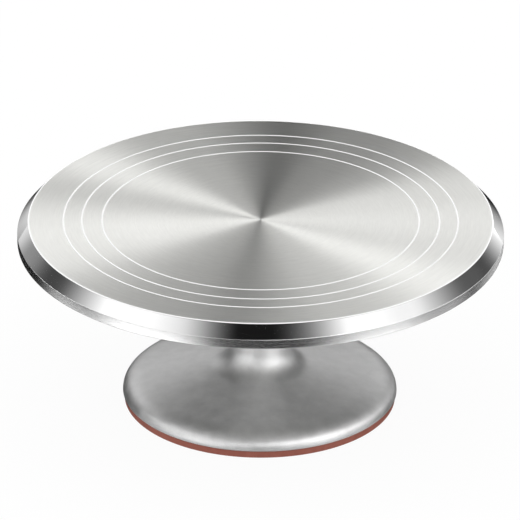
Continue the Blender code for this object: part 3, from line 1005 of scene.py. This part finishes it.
def build_foot_ring():
    foot = Extent("foot_ring")
    top = Extent("pedestal").low - CLEARANCE
    inner = 79.6
    corners = [
        at(TONGUE_OUTER, foot.high, 0.4),
        at(TONGUE_OUTER, top),
        at(foot.radius, top, 0.35),
        at(foot.radius, foot.low, 0.7),
        at(inner, foot.low, 0.5),
        at(inner, top, 0.35),
        at(TONGUE_INNER, top),
        at(TONGUE_INNER, foot.high, 0.4),
    ]
    piece = lathe("foot_ring_moulded", corners, PEDESTAL_STEPS, [foot_silicone()])
    settle(piece, "base", "silicone", "foot_ring")


# ---------------------------------------------------------------- studio and camera

# Soft patches of light that the metal mirrors: azimuth from the camera (right is
# positive), elevation, half width, half height, soft edge across and up, brightness.
# All but the brightness are in degrees.
SKY = [
    (-55, 45, 25, 8, 18, 7, 1.05),
    (-85, 28, 8, 16, 24, 8, 1.5),
    (-42, 17, 14, 8, 12, 7, 1.5),
    (42, 15, 10, 8, 12, 7, 0.7),
    (22, 29, 22, 9, 10, 7, 2.3),
    (50, 36, 18, 15, 26, 8, 1.7),
    (85, 36, 18, 8, 28, 16, 1.2),
    (95, -8, 18, 18, 22, 16, 2.5),
    (-108, -10, 15, 15, 20, 16, 5.0),
    (-144, 33, 16, 7, 20, 10, 2.3),
    (146, 45, 15, 6, 8, 7, 4.4),
    (164, 26, 9, 6, 8, 7, 1.1),
    (-168, 26, 8, 6, 8, 7, 0.3),
    (-155, 14, 10, 8, 8, 7, 1.0),
    (176, 15, 16, 15, 8, 7, 1.15),
    (178, -6, 22, 12, 10, 8, 4.0),
    (150, -12, 80, 8, 56, 20, 2.8),
]
SKY_GLOOM = 0.01

# The same on a low ring that stands on the table round the foot, below the plate's
# face. Its heights are in millimetres.
LOW_RING = [
    (-5, 120, 85, 22, 8, 8, 4.2),
    (-40, 5, 17, 27, 12, 14, 4.0),
    (42, 0, 16, 25, 12, 12, 4.2),
    (-72, 3, 18, 13, 12, 18, 2.6),
    (72, 4, 14, 14, 12, 18, 1.6),
    (82, 98, 43, 35, 23, 22, 1.4),
    (122, -5, 23, 16, 8, 8, 1.2),
    (-160, 126, 37, 36, 14, 54, 1.2),
]
RING_GLOOM = 0
RING_HEIGHT = 118
CARD_RADIUS = 300  # of the ring and of the table inside it

# The same on the table itself. Here the rise is the distance from the axis in millimetres.
TABLE = [
    (0, 200, 68, 170, 18, 30, 0.36),
]
TABLE_GLOOM = 0.04

DOME_BRIGHTNESS = 1.15  # of the even sky that lights all but the mirror images
FLOOR_GLOW = 0.94  # how much of the floor's look is its own glow, which takes no shadow
FLOOR_REACH = 6000
FLOOR_DROP = 0.2  # the floor lies just below the foot, and the table card between them
CARD_DROP = 0.1


def azimuth_of(tree, place):
    """Degrees round from the camera's side, to the right, of a point or a direction."""
    x, y, _ = split(tree, place)
    turn = maths(tree, "ARCTAN2", x, maths(tree, "MULTIPLY", y, -1))
    return maths(tree, "MULTIPLY", turn, math.degrees(1))


def soft_patches(tree, azimuth, rise, patches, gloom):
    """The brightness of all the patches together at an azimuth and a rise, with the gloom
    that is there without them."""
    total = gloom
    for centre, level, half_width, half_height, soft_across, soft_up, brightness in patches:
        turned = maths(tree, "SUBTRACT", azimuth, centre)
        across = maths(tree, "ABSOLUTE", maths(tree, "WRAP", turned, 180, -180))
        up = maths(tree, "ABSOLUTE", maths(tree, "SUBTRACT", rise, level))
        low, high = half_width - soft_across, half_width + soft_across
        wide = map_range(tree, across, low, high, brightness, 0, smooth=True)
        low, high = half_height - soft_up, half_height + soft_up
        tall = map_range(tree, up, low, high, 1, 0, smooth=True)
        total = maths(tree, "MULTIPLY_ADD", wide, tall, total)
    return total


def bare_material(name):
    material = bpy.data.materials.new(name)
    material.use_nodes = True
    material.node_tree.nodes.clear()
    return material, material.node_tree


def light_studio():
    """Metal mirrors a dim studio with soft panels; all else is lit by an even pale dome."""
    world = bpy.data.worlds.new("studio")
    world.use_nodes = True
    world.cycles.sampling_method = "NONE"
    bpy.context.scene.world = world
    tree = world.node_tree
    tree.nodes.clear()
    ray = add_node(tree, "ShaderNodeTexCoord").outputs["Generated"]
    lift = maths(tree, "ARCSINE", split(tree, ray)[2])
    elevation = maths(tree, "MULTIPLY", lift, math.degrees(1))
    total = soft_patches(tree, azimuth_of(tree, ray), elevation, SKY, SKY_GLOOM)
    mirrored = add_node(tree, "ShaderNodeBackground", {"Color": grey(1), "Strength": total})
    dome = add_node(tree, "ShaderNodeBackground", {"Color": grey(1), "Strength": DOME_BRIGHTNESS})
    in_metal = add_node(tree, "ShaderNodeLightPath").outputs["Is Glossy Ray"]
    inputs = {0: in_metal, 1: dome.outputs[0], 2: mirrored.outputs[0]}
    both = add_node(tree, "ShaderNodeMixShader", inputs)
    add_node(tree, "ShaderNodeOutputWorld", {"Surface": both.outputs[0]})


def lay_floor():
    """A wide pale sheet that takes a faint shadow and isn't mirrored in the metal."""
    bm = bmesh.new()
    bmesh.ops.create_grid(bm, x_segments=8, y_segments=8, size=FLOOR_REACH * MM)
    mesh = finished_mesh("floor", bm)
    material, tree = bare_material("pale_floor")
    matte = add_node(tree, "ShaderNodeBsdfDiffuse", {"Color": grey(0.9)})
    glow = add_node(tree, "ShaderNodeEmission", {"Color": grey(1), "Strength": 1.0})
    inputs = {0: FLOOR_GLOW, 1: matte.outputs[0], 2: glow.outputs[0]}
    both = add_node(tree, "ShaderNodeMixShader", inputs)
    add_node(tree, "ShaderNodeOutputMaterial", {"Surface": both.outputs[0]})
    floor = add_piece("floor", mesh, [material])
    floor.location.z = -FLOOR_DROP * MM
    floor.visible_glossy = False


def only_in_metal(name, bm, measure, patches, gloom):
    """A glowing stage piece that nothing but the metal's mirror image shows. measure makes
    the length that its patches are placed by, besides their azimuth."""
    material, tree = bare_material(name)
    azimuth = azimuth_of(tree, object_point(tree))
    rise = maths(tree, "DIVIDE", measure(tree), MM)
    strength = soft_patches(tree, azimuth, rise, patches, gloom)
    glow = add_node(tree, "ShaderNodeEmission", {"Color": grey(1), "Strength": strength})
    add_node(tree, "ShaderNodeOutputMaterial", {"Surface": glow.outputs[0]})
    piece = add_piece(name, finished_mesh(name, bm), [material])
    piece.visible_camera = False
    piece.visible_diffuse = False
    piece.visible_shadow = False
    piece.visible_transmission = False
    return piece


def lay_table_card():
    """The table round the foot, as the metal mirrors it."""
    bm = bmesh.new()
    bmesh.ops.create_circle(bm, cap_ends=True, segments=CARD_STEPS, radius=CARD_RADIUS * MM)
    card = only_in_metal("table_card", bm, distance_from_axis, TABLE, TABLE_GLOOM)
    card.location.z = -CARD_DROP * MM


def stand_low_ring():
    """A low reflector round the foot. It lights the pedestal and the rim, not the face."""
    bm = bmesh.new()
    bmesh.ops.create_cone(
        bm,
        segments=CARD_STEPS,
        radius1=CARD_RADIUS * MM,
        radius2=CARD_RADIUS * MM,
        depth=RING_HEIGHT * MM,
        matrix=Matrix.Translation((0, 0, RING_HEIGHT / 2 * MM)),
    )
    only_in_metal("table_ring", bm, height_above_foot, LOW_RING, RING_GLOOM)


def set_camera():
    data = bpy.data.cameras.new("camera")
    data.sensor_width = CAMERA_SENSOR
    data.lens = CAMERA_LENS
    data.clip_end = CAMERA_REACH
    camera = bpy.data.objects.new("camera", data)
    bpy.context.scene.collection.objects.link(camera)
    away = Vector((0, -math.cos(CAMERA_ELEVATION), math.sin(CAMERA_ELEVATION)))
    camera.location = CAMERA_PIVOT + away * CAMERA_DISTANCE
    straight = (CAMERA_AIM - camera.location).to_track_quat("-Z", "Y")
    camera.rotation_euler = (straight @ Quaternion((0, 0, 1), CAMERA_ROLL)).to_euler()
    bpy.context.scene.camera = camera


def set_view_transform():
    bpy.context.scene.view_settings.view_transform = "Standard"
    bpy.context.scene.view_settings.look = "None"


set_camera()
set_view_transform()
light_studio()
lay_floor()
lay_table_card()
stand_low_ring()
build_plate()
build_flange()
build_screws()
build_spindle()
build_bearings()
build_pedestal()
build_foot_ring()
